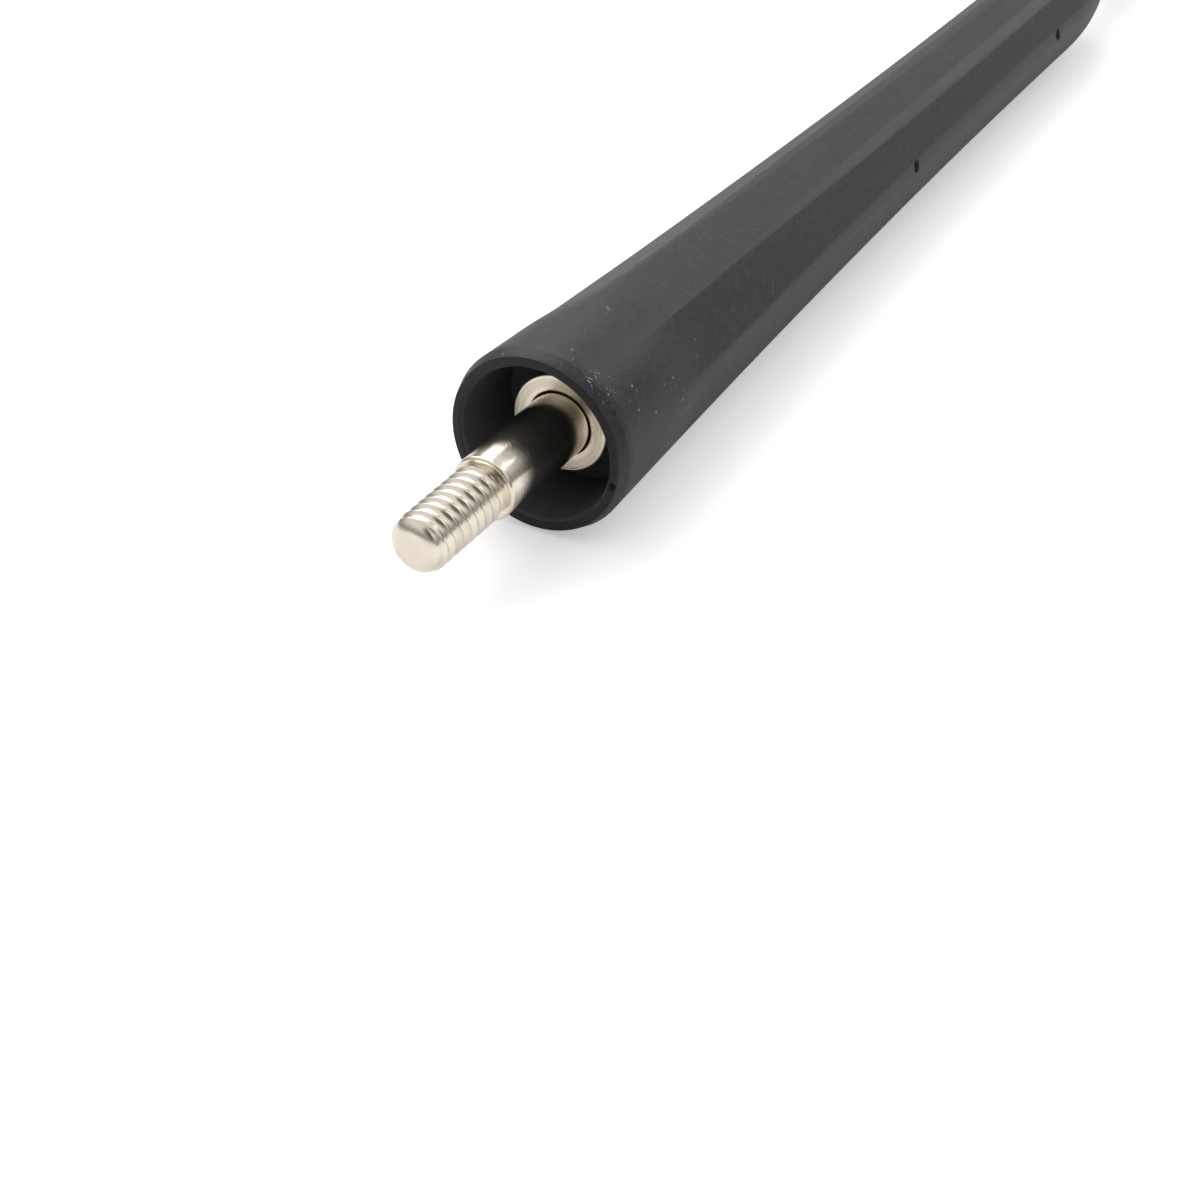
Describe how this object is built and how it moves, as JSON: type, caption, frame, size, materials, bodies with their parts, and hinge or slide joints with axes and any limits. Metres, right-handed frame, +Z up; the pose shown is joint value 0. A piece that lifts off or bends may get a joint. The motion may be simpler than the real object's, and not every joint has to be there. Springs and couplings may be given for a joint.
{
  "type": "car mast aerial",
  "caption": "Straight screw-in car mast aerial: flat-sided black boot, plated stud in an open mouth, ribbed whip with a long spiral hump, round-ended tip cap.",
  "frame": {"origin": "middle of the bounding box on the floor that the aerial lies on", "axes": "+X along the mast from the stud to the tip cap, dipping 0.64 degrees towards the tip, +Z up"},
  "size_m": [0.4182, 0.0166, 0.0166],
  "materials": {
    "boot_rubber": "satin moulded black with fine grain",
    "nickel_plate": "turned brass, nickel plated",
    "glass_fibre": "pultruded glass fibre, translucent straw",
    "copper": "enamelled copper wire",
    "cord_plastic": "plain nylon cord",
    "shrink_sleeve": "matt heat-shrunk black",
    "cap_black": "gloss black"
  },
  "bodies": {
    "root": {"boot": "boot_rubber", "ferrule": "nickel_plate", "stud": "nickel_plate", "core_rod": "glass_fibre", "antenna_wire": "copper", "noise_cord": "cord_plastic", "sleeve": "shrink_sleeve", "tip_cap": "cap_black"}
  },
  "joints": []
}
